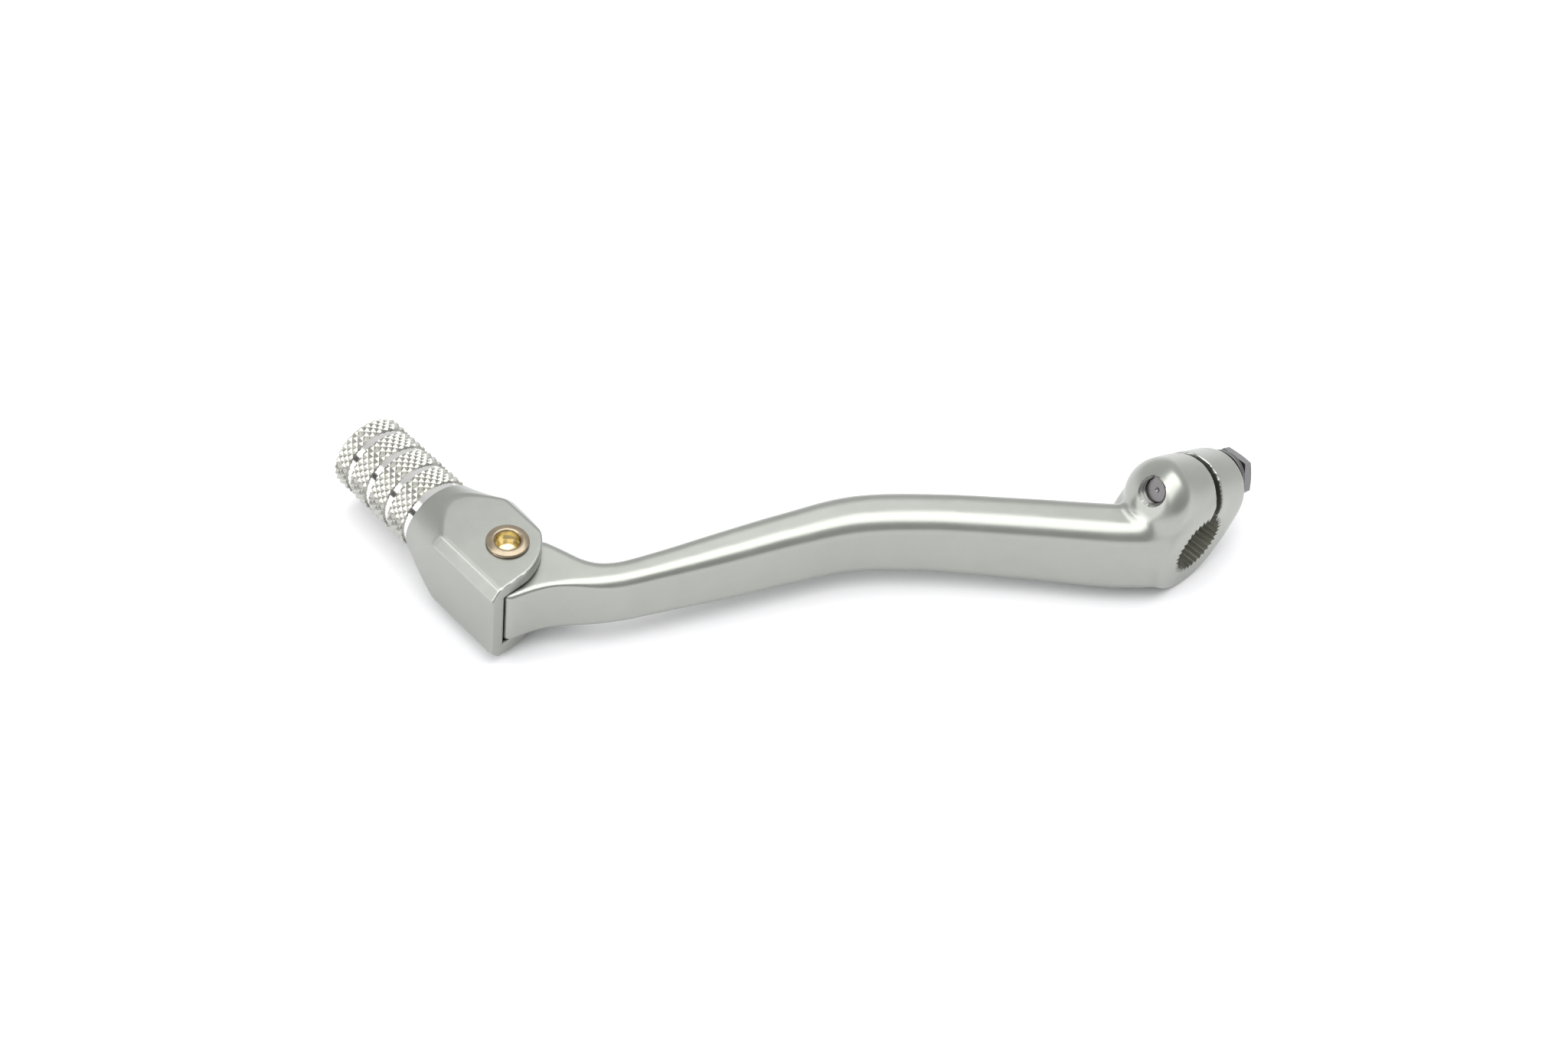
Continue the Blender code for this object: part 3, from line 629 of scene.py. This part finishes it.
def combine(target, operation, *others):
    """Joins the others to the target, cuts them from it or keeps what they share, and removes them."""
    for other in others:
        modifier = target.modifiers.new(other.name, "BOOLEAN")
        modifier.operation = operation
        modifier.object = other
        modifier.solver = "MANIFOLD"
    bpy.context.view_layer.update()
    graph = bpy.context.evaluated_depsgraph_get()
    mesh = bpy.data.meshes.new_from_object(target.evaluated_get(graph))
    target.modifiers.clear()
    target.data = mesh
    for other in others:
        bpy.data.objects.remove(other)


def show(obj, body, slot, look, *nodes, sharp=32):
    """Puts a finished piece in the model's frame, on its body, in place of the CAD nodes that it stands for."""
    obj.data.transform(TO_MODEL)
    obj.data.materials.clear()
    obj.data.materials.append(look)
    obj.data.shade_smooth()
    obj.data.set_sharp_from_angle(angle=math.radians(sharp))
    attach(obj, body)
    if nodes:
        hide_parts(*nodes)
    return obj


# --- Materials ----------------------------------------------------------------------------------


def metal(name, colour, roughness, mottle, grain, grain_size=0.2, colour_spread=0.0):
    """A metal whose roughness and colour vary a little, with a fine grain. Sizes are in millimetres."""
    made = bpy.data.materials.new(name)
    made.use_nodes = True
    nodes, links = made.node_tree.nodes, made.node_tree.links
    shader = nodes["Principled BSDF"]
    shader.inputs["Metallic"].default_value = 1.0
    shader.inputs["Base Color"].default_value = (*colour, 1.0)
    shader.inputs["Roughness"].default_value = roughness
    place = nodes.new("ShaderNodeTexCoord")
    cloud = nodes.new("ShaderNodeTexNoise")
    cloud.inputs["Scale"].default_value = 1 / (MOTTLE_SIZE * MM)
    cloud.inputs["Detail"].default_value = 6.0
    cloud.inputs["Roughness"].default_value = 0.65
    links.new(place.outputs["Object"], cloud.inputs["Vector"])
    span = nodes.new("ShaderNodeMapRange")
    span.inputs["From Min"].default_value = NOISE_LOW
    span.inputs["From Max"].default_value = NOISE_HIGH
    span.inputs["To Min"].default_value = roughness - mottle
    span.inputs["To Max"].default_value = roughness + mottle
    links.new(cloud.outputs["Fac"], span.inputs["Value"])
    links.new(span.outputs["Result"], shader.inputs["Roughness"])
    if colour_spread:
        tone = nodes.new("ShaderNodeValToRGB")
        low, high = tone.color_ramp.elements
        low.position = NOISE_LOW
        low.color = (*[c * (1 - colour_spread) for c in colour], 1.0)
        high.position = NOISE_HIGH
        high.color = (*[c * (1 + colour_spread) for c in colour], 1.0)
        links.new(cloud.outputs["Fac"], tone.inputs["Fac"])
        links.new(tone.outputs["Color"], shader.inputs["Base Color"])
    fine = nodes.new("ShaderNodeTexNoise")
    fine.inputs["Scale"].default_value = 1 / (grain_size * MM)
    fine.inputs["Detail"].default_value = 3.0
    links.new(place.outputs["Object"], fine.inputs["Vector"])
    bump = nodes.new("ShaderNodeBump")
    bump.inputs["Strength"].default_value = grain
    bump.inputs["Distance"].default_value = GRAIN_HEIGHT * MM
    links.new(fine.outputs["Fac"], bump.inputs["Height"])
    links.new(bump.outputs["Normal"], shader.inputs["Normal"])
    return made


forged_skin = {"mottle": 0.03, "grain": 0.5, "grain_size": 0.25, "colour_spread": 0.03}
blasted = metal("blasted_aluminium", (0.360, 0.370, 0.341), 0.31, **forged_skin)
broached = metal("broached_aluminium", (0.66, 0.66, 0.61), 0.3, mottle=0.05, grain=0.4, colour_spread=0.05)
satin = metal("satin_aluminium", (0.345, 0.356, 0.328), 0.33, **forged_skin)
# The threaded hole's dark colour is painted shade of the deep hole, with some residual oil.
thread_hole_shade = metal("thread_hole_painted_shade", (0.2, 0.2, 0.19), 0.35, mottle=0.05, grain=0.4, colour_spread=0.1)
bright = metal("bright_machined", (0.72, 0.72, 0.70), 0.1, mottle=0.03, grain=0.1, grain_size=0.3)
knurled = metal("knurled_aluminium", (0.42, 0.42, 0.385), 0.24, mottle=0.05, grain=0.3, colour_spread=0.06)
bronze = metal("bronze_zinc", (0.30, 0.25, 0.18), 0.24, mottle=0.07, grain=0.3, grain_size=0.3, colour_spread=0.2)
gold = metal("yellow_zinc", (0.60, 0.52, 0.32), 0.2, mottle=0.06, grain=0.3, grain_size=0.3, colour_spread=0.12)
hard = metal("hard_steel", (0.42, 0.42, 0.43), 0.32, mottle=0.05, grain=0.3)
zinc = metal("zinc_steel", (0.16, 0.153, 0.156), 0.28, mottle=0.06, grain=0.4, colour_spread=0.1)
black = metal("black_steel", (0.10, 0.10, 0.10), 0.4, mottle=0.05, grain=0.4, colour_spread=0.1)


# --- Pieces -------------------------------------------------------------------------------------


def spline_outline():
    """The teeth of the bore, seen along it."""
    outline = []
    pitch = WHOLE / SPLINE_TEETH
    for tooth in range(SPLINE_TEETH):
        for share, radius in SPLINE_TOOTH:
            angle = (tooth + share) * pitch
            outline.append((radius * math.cos(angle), radius * math.sin(angle)))
    return outline


def bore_cutters():
    """The splined bore, and the small flares at its two mouths."""
    half = CLAMP_WIDTH / 2
    beyond = 0.5
    along_bore = CLAMP_FRAME @ ALONG_Y
    splines = prism("splines", spline_outline(), -2 * half, 2 * half, along_bore)
    mouth = [
        (0.0, half - BORE_FLARE),
        (SPLINE_TIP_RADIUS, half - BORE_FLARE),
        (SPLINE_ROOT_RADIUS + BORE_FLARE + beyond, half + beyond),
        (0.0, half + beyond),
    ]
    near = turned("bore_mouth", mouth, along_bore)
    far = turned("bore_mouth_far", mouth, along_bore @ Matrix.Rotation(math.pi, 4, "X"))
    return splines, near, far


def bolt_cutters():
    """The threaded and the clear half of the bolt's hole, its countersink and the seat of its washer."""
    hole = threaded("bolt_hole", THREAD_RADIUS + THREAD_HOLE_PLAY, EAR_MOUTH - 2.0, 1.0, BOLT_FRAME)
    clearance = plug("clearance", CLEARANCE_RADIUS, -1.0, 20.0, BOLT_FRAME)
    sink = [
        (0.0, EAR_MOUTH - 1.0),
        (COUNTERSINK_RADIUS, EAR_MOUTH - 1.0),
        (COUNTERSINK_END_RADIUS, EAR_MOUTH + COUNTERSINK_DEPTH),
        (0.0, EAR_MOUTH + COUNTERSINK_DEPTH),
    ]
    countersink = turned("countersink", sink, BOLT_FRAME)
    seat = plug("seat", SEAT_RADIUS, EAR_SEAT, EAR_SEAT + 8.0, BOLT_FRAME)
    return hole, clearance, countersink, seat


def make_lever():
    """The forged lever, meshed more finely by the eye and the clamp than along the arm, with its holes cut.

    The faces inside the bore are broached; those of the bolt's threaded hole are darkened to paint the deep
    hole's shade and its residual oil.
    """
    lines = (
        grid_line((ARM_LOW.x - 1.0, 0.4), (14.0, 0.8), (98.0, 0.3), (ARM_HIGH.x + 3.0, 0.0)),
        grid_line((ARM_LOW.y - 1.0, 0.3), (-58.0, 0.42), (EYE_RADIUS + 1.0, 0.0)),
        grid_line((ARM_LOW.z - 1.0, 0.36), (ARM_HIGH.z + 3.0, 0.0)),
    )
    lever = mesh_object("forged_lever", *meshed(lever_field, lines))
    eye_hole = plug("eye_hole", BUSH_RADIUS + BUSH_PLAY, -10.0, 10.0)
    pocket = plug("spring_pocket", SPRING_POCKET_RADIUS, -10.0, SPRING_POCKET_TOP)
    combine(lever, "DIFFERENCE", *bore_cutters(), *bolt_cutters(), eye_hole, pocket)
    lever = show(lever, "lever", "forged_aluminium", blasted, "lever_arm")
    lever.data.materials.append(broached)
    lever.data.materials.append(thread_hole_shade)
    from_bolt = (TO_MODEL @ BOLT_FRAME).inverted()
    for face in lever.data.polygons:
        place = (face.center - PIVOT) / MM
        in_bore = math.hypot(place.x - CLAMP_X, place.z) < SPLINE_ROOT_RADIUS + 0.1
        if in_bore and abs(face.normal.y) < 0.3:
            face.material_index = 1
        # Faces of the threaded hole take the dark colour: painted shade of the deep hole, with its residual oil.
        by_bolt = from_bolt @ face.center
        if by_bolt.z < 0 and math.hypot(by_bolt.x, by_bolt.y) < THREAD_RADIUS + 0.05:
            face.material_index = 2
    return lever


def make_clevis():
    lines = [
        grid_line((low - CLEVIS_GRID_MARGIN, CLEVIS_GRID_STEP), (high + CLEVIS_GRID_MARGIN, 0.0))
        for low, high in zip(CLEVIS_LOW, CLEVIS_HIGH)
    ]
    clevis = mesh_object("forged_clevis", *meshed(clevis_field, lines))
    return show(clevis, "tip", "forged_aluminium", satin, "tip_clevis", sharp=40)


def knurl_place(column, row, radius):
    """A place on a cylinder, counted in half pitches round it and along it."""
    angle = WHOLE * column / KNURL_COLUMNS
    return radius * math.cos(angle), radius * math.sin(angle), row * KNURL_PITCH / 2


def knurl_mesh(start, end):
    """Four-sided points in staggered rows, with valleys between them, cut off flat at start and end."""
    bm = bmesh.new()
    first = math.floor(start / KNURL_PITCH) - 1
    last = math.ceil(end / KNURL_PITCH) + 1
    valley = PEG_RADIUS - KNURL_DEPTH
    made = {}

    def low_point(column, row):
        key = (column % KNURL_COLUMNS, row)
        if key not in made:
            made[key] = bm.verts.new(knurl_place(*key, valley))
        return made[key]

    for row in range(2 * first, 2 * last + 1):
        for column in range(row % 2, KNURL_COLUMNS, 2):
            apex = bm.verts.new(knurl_place(column, row, PEG_RADIUS))
            ring = [
                low_point(column + 1, row),
                low_point(column, row + 1),
                low_point(column - 1, row),
                low_point(column, row - 1),
            ]
            for i in range(4):
                bm.faces.new((apex, ring[i], ring[(i + 1) % 4]))
    for height, keeps_above in ((start, True), (end, False)):
        bmesh.ops.bisect_plane(
            bm,
            geom=bm.verts[:] + bm.edges[:] + bm.faces[:],
            dist=1e-5,
            plane_co=(0, 0, height),
            plane_no=(0, 0, 1),
            clear_inner=keeps_above,
            clear_outer=not keeps_above,
        )
    return bm


def knurled_band(low, high):
    """One knurled band as a mesh, with flat end faces that reach down into the peg's core."""
    bm = knurl_mesh(low, high)
    for height in (low, high):
        rim = [e for e in bm.edges if e.is_boundary and all(abs(v.co.z - height) < 1e-3 for v in e.verts)]
        made = bmesh.ops.extrude_edge_only(bm, edges=rim)
        for v in (g for g in made["geom"] if isinstance(g, bmesh.types.BMVert)):
            flat = Vector((v.co.x, v.co.y)).normalized() * (GROOVE_RADIUS - BAND_OVERLAP)
            v.co = (flat.x, flat.y, v.co.z)
    bmesh.ops.recalc_face_normals(bm, faces=bm.faces)
    mesh = bpy.data.meshes.new("band")
    bm.to_mesh(mesh)
    bm.free()
    return mesh


def make_peg():
    """Knurled bands between smooth bright grooves, on a core with a spigot."""
    whole = bmesh.new()
    start = PEG_BASE_Y + GROOVE_WIDTH
    knurl_end = PEG_TIP_Y - PEG_TIP_CHAMFER
    for band in range(GROOVE_COUNT):
        low = start + band * GROOVE_PITCH
        high = knurl_end if band == GROOVE_COUNT - 1 else low + GROOVE_PITCH - GROOVE_WIDTH
        mesh = knurled_band(low, high)
        whole.from_mesh(mesh)
        bpy.data.meshes.remove(mesh)
    mesh = bpy.data.meshes.new("knurl")
    whole.to_mesh(mesh)
    whole.free()
    knurl = bpy.data.objects.new("knurled_bands", mesh)
    bpy.context.scene.collection.objects.link(knurl)
    knurl.data.transform(PEG_FRAME)
    end = CLEVIS_NOSE_Y - SPIGOT_LENGTH
    core = [
        (0.0, end),
        (SPIGOT_RADIUS - 0.5, end),
        (SPIGOT_RADIUS, end + 0.5),
        (SPIGOT_RADIUS, PEG_BASE_Y),
        (GROOVE_RADIUS, PEG_BASE_Y),
        (GROOVE_RADIUS, knurl_end),
        (GROOVE_RADIUS - 0.5, PEG_TIP_Y),
        (1.6, PEG_TIP_Y),
        (1.1, PEG_TIP_Y - 0.5),
        (0.0, PEG_TIP_Y - 1.0),
    ]
    shaft = turned("peg_core", core, PEG_FRAME, 160)
    show(shaft, "tip", "bright_peg", bright, "toe_peg", sharp=30)
    return show(knurl, "tip", "bright_peg", knurled, sharp=1)


def make_rivet():
    """A semi-tubular rivet: the hollow end is rolled over into a lip, and the far end has a plain head."""
    cheek = CLEVIS_TOP + 0.06
    top = RIVET_HIGH.z
    base = RIVET_LOW.z
    lip = RIVET_HEAD_RADIUS
    plain_head = [(0.0, base), (lip - 0.9, base), (lip - 0.25, base + 0.22), (lip, -cheek - 0.15), (lip, -cheek)]
    shank = [(RIVET_RADIUS, -cheek), (RIVET_RADIUS, cheek), (lip - 0.1, cheek)]
    rolled_lip = arc((lip - 0.32, cheek + 0.34), 0.32, -60, 75)
    crown = [(3.35, top - 0.06), (3.0, top), *arc((2.85, top - 0.42), 0.42, 80, 170)]
    recess = [(2.38, top - 1.3), (2.3, top - 1.6), (1.98, top - 1.85), (1.9, top - 3.1), (1.7, top - 3.3)]
    bottom = [(0.0, top - 3.45)]
    profile = [*plain_head, *shank, *rolled_lip, *crown, *recess, *bottom]
    rivet = show(turned("rolled_rivet", profile), "tip", "yellow_zinc", bronze, "pivot_rivet", sharp=50)
    rivet.data.materials.append(gold)
    for face in rivet.data.polygons:
        place = (face.center - PIVOT) / MM
        if place.z > 0 and math.hypot(place.x, place.y) < RIVET_RECESS:
            face.material_index = 1
    return rivet


def make_bolt():
    """A hex bolt: its head has a chamfered top over a thin washer face, and its end has a centre mark."""
    end = UNDER_HEAD - BOLT_LENGTH
    shank = threaded("hex_bolt", THREAD_RADIUS - THREAD_ROD_PLAY, end, UNDER_HEAD + 0.5, BOLT_FRAME, runout=0.8)
    top = UNDER_HEAD + HEAD_HEIGHT
    angles = [HEAD_TURN + k * WHOLE / 6 for k in range(6)]
    corners = [(HEAD_CORNER_RADIUS * math.cos(a), HEAD_CORNER_RADIUS * math.sin(a)) for a in angles]
    head = prism("hex", corners, UNDER_HEAD, top, BOLT_FRAME)
    flat = HEAD_CORNER_RADIUS * math.cos(math.pi / 6)
    dome = [(0.0, UNDER_HEAD), (flat, UNDER_HEAD), (flat, UNDER_HEAD + 0.3), (flat + 0.9, UNDER_HEAD + 0.42)]
    dome += [(flat + 0.9, top - 1.15), (flat - 0.45, top - 0.3), (flat - 0.8, top), (0.0, top)]
    combine(head, "INTERSECT", turned("dome", dome, BOLT_FRAME))
    combine(head, "UNION", shank)
    dimple = turned("dimple", [(0.0, end - 1.0), (0.5, end - 1.0), (0.5, end), (0.0, end + 0.35)], BOLT_FRAME)
    combine(head, "DIFFERENCE", dimple)
    head.name = "hex_head_bolt"
    return show(head, "lever", "zinc_steel", zinc, "pinch_bolt", sharp=25)


def make_washer():
    """A split ring, its ends sprung apart."""
    steps = 96
    edge = 0.18
    section = [
        (WASHER_INNER_RADIUS, edge),
        (WASHER_INNER_RADIUS + edge, 0.0),
        (WASHER_OUTER_RADIUS - edge, 0.0),
        (WASHER_OUTER_RADIUS, edge),
        (WASHER_OUTER_RADIUS, WASHER_THICKNESS - edge),
        (WASHER_OUTER_RADIUS - edge, WASHER_THICKNESS),
        (WASHER_INNER_RADIUS + edge, WASHER_THICKNESS),
        (WASHER_INNER_RADIUS, WASHER_THICKNESS - edge),
    ]
    count = len(section)
    points = []
    for i in range(steps + 1):
        share = i / steps
        angle = WASHER_OPENING / 2 + (WHOLE - WASHER_OPENING) * share
        lift = EAR_SEAT + WASHER_PLAY + WASHER_RISE * share
        points += [(r * math.cos(angle), r * math.sin(angle), lift + h) for r, h in section]
    faces = [tuple(range(count)), tuple(reversed(range(steps * count, (steps + 1) * count)))]
    for i in range(steps):
        a = i * count
        for j in range(count):
            k = (j + 1) % count
            faces.append((a + j, a + count + j, a + count + k, a + k))
    washer = mesh_object("split_washer", points, faces, BOLT_FRAME)
    return show(washer, "lever", "black_steel", black, "spring_washer")


def make_spring():
    """A coil round the bush, with a straight leg at each end."""
    points = []
    steps = 48
    low = SPRING_LOW.z + 2.2
    for i in range(round(SPRING_TURNS * steps) + 1):
        turns = i / steps
        x = SPRING_MEAN_RADIUS * math.cos(WHOLE * turns)
        y = SPRING_MEAN_RADIUS * math.sin(WHOLE * turns)
        points.append(Vector((x, y, low + SPRING_PITCH * turns)))
    points.insert(0, Vector((SPRING_MEAN_RADIUS, 0.0, low - 0.4)))
    points.insert(0, Vector((SPRING_MEAN_RADIUS, 0.0, SPRING_LOW.z)))
    x, y, high = points[-1]
    points += [Vector((x, y, high + 0.4)), Vector((x, y, SPRING_HIGH.z))]
    curve = bpy.data.curves.new("torsion_spring", "CURVE")
    curve.dimensions = "3D"
    curve.bevel_depth = SPRING_WIRE_RADIUS
    curve.bevel_resolution = 4
    curve.use_fill_caps = True
    spline = curve.splines.new("POLY")
    spline.points.add(len(points) - 1)
    for point, position in zip(spline.points, points):
        point.co = (*position, 1.0)
    coil = bpy.data.objects.new("torsion_spring_wire", curve)
    bpy.context.scene.collection.objects.link(coil)
    bpy.context.view_layer.update()
    mesh = bpy.data.meshes.new_from_object(coil.evaluated_get(bpy.context.evaluated_depsgraph_get()))
    bpy.data.objects.remove(coil)
    obj = bpy.data.objects.new("torsion_spring", mesh)
    bpy.context.scene.collection.objects.link(obj)
    return show(obj, "lever", "hard_steel", hard, "return_spring", sharp=60)


def make_bush():
    """The bush is the CAD's own, with this script's steel."""
    node = frame["nodes"]["pivot_bush"]
    node.data.materials.clear()
    node.data.materials.append(hard)


# --- Studio -------------------------------------------------------------------------------------


def make_floor():
    """A wide sheet of white paper under the lever."""
    side = FLOOR_HALF_SIZE
    corners = [(-side, -side, 0), (side, -side, 0), (side, side, 0), (-side, side, 0)]
    floor = mesh_object("floor", corners, [(0, 1, 2, 3)])
    paper = bpy.data.materials.new("white_paper")
    paper.use_nodes = True
    shader = paper.node_tree.nodes["Principled BSDF"]
    shader.inputs["Base Color"].default_value = PAPER_COLOUR
    shader.inputs["Roughness"].default_value = 0.9
    floor.data.materials.append(paper)


def make_tent():
    """The light tent round the lever: what its metal reflects."""
    world = bpy.data.worlds.new("light_tent")
    bpy.context.scene.world = world
    world.use_nodes = True
    nodes, links = world.node_tree.nodes, world.node_tree.links
    place = nodes.new("ShaderNodeTexCoord")

    def towards(direction, start, end, low, high):
        """A level from low to high, as the cosine between a ray and a direction goes from start to end."""
        dot = nodes.new("ShaderNodeVectorMath")
        dot.operation = "DOT_PRODUCT"
        dot.inputs[1].default_value = direction
        span = nodes.new("ShaderNodeMapRange")
        span.interpolation_type = "SMOOTHSTEP"
        ends = {"From Min": start, "From Max": end, "To Min": low, "To Max": high}
        for name, value in ends.items():
            span.inputs[name].default_value = value
        links.new(place.outputs["Generated"], dot.inputs[0])
        links.new(dot.outputs["Value"], span.inputs["Value"])
        return span.outputs["Result"]

    def together(operation, first, second):
        result = nodes.new("ShaderNodeMath")
        result.operation = operation
        links.new(first, result.inputs[0])
        links.new(second, result.inputs[1])
        return result.outputs["Value"]

    left_span = [math.cos(math.radians(angle)) for angle in LEFT_LIGHT_ANGLES]
    dark_span = [math.cos(math.radians(angle)) for angle in DARK_ANGLES]
    walls = towards(WINDOW_SIDE, *WALL_SPAN, *WALL_LEVELS)
    left = towards(LEFT_LIGHT, *left_span, 0.0, LEFT_LIGHT_LEVEL)
    opening = towards(DARK_SIDE, *dark_span, 1.0, DARK_LEVEL)
    level = together("MULTIPLY", together("ADD", walls, left), opening)
    links.new(level, nodes["Background"].inputs["Strength"])
    nodes["Background"].inputs["Color"].default_value = TENT_COLOUR


def make_softbox():
    """The large light overhead, which faces straight down."""
    light = bpy.data.lights.new("overhead_softbox", "AREA")
    light.shape = "RECTANGLE"
    light.size, light.size_y = SOFTBOX_SIZE
    light.energy = SOFTBOX_RADIANCE * math.pi * light.size * light.size_y
    overhead = bpy.data.objects.new("overhead_softbox", light)
    overhead.location = SOFTBOX_PLACE
    bpy.context.scene.collection.objects.link(overhead)


def make_camera():
    """The photograph's viewing angle."""
    camera = bpy.data.cameras.new("camera")
    camera.lens = CAMERA_LENS
    camera.sensor_width = 36.0
    camera.clip_start = 0.01
    obj = bpy.data.objects.new("camera", camera)
    back = CAMERA_RIGHT.cross(CAMERA_UP).normalized()
    turn = Matrix((CAMERA_RIGHT, back.cross(CAMERA_RIGHT).normalized(), back)).transposed().to_4x4()
    obj.matrix_world = Matrix.Translation(PIVOT + CAMERA_PLACE * MM) @ turn
    bpy.context.scene.collection.objects.link(obj)
    bpy.context.scene.camera = obj


make_camera()
make_floor()
make_tent()
make_softbox()
make_lever()
make_clevis()
make_peg()
make_rivet()
make_bush()
make_bolt()
make_washer()
make_spring()
bpy.context.scene.view_settings.view_transform = "Standard"

bpy.context.view_layer.update()
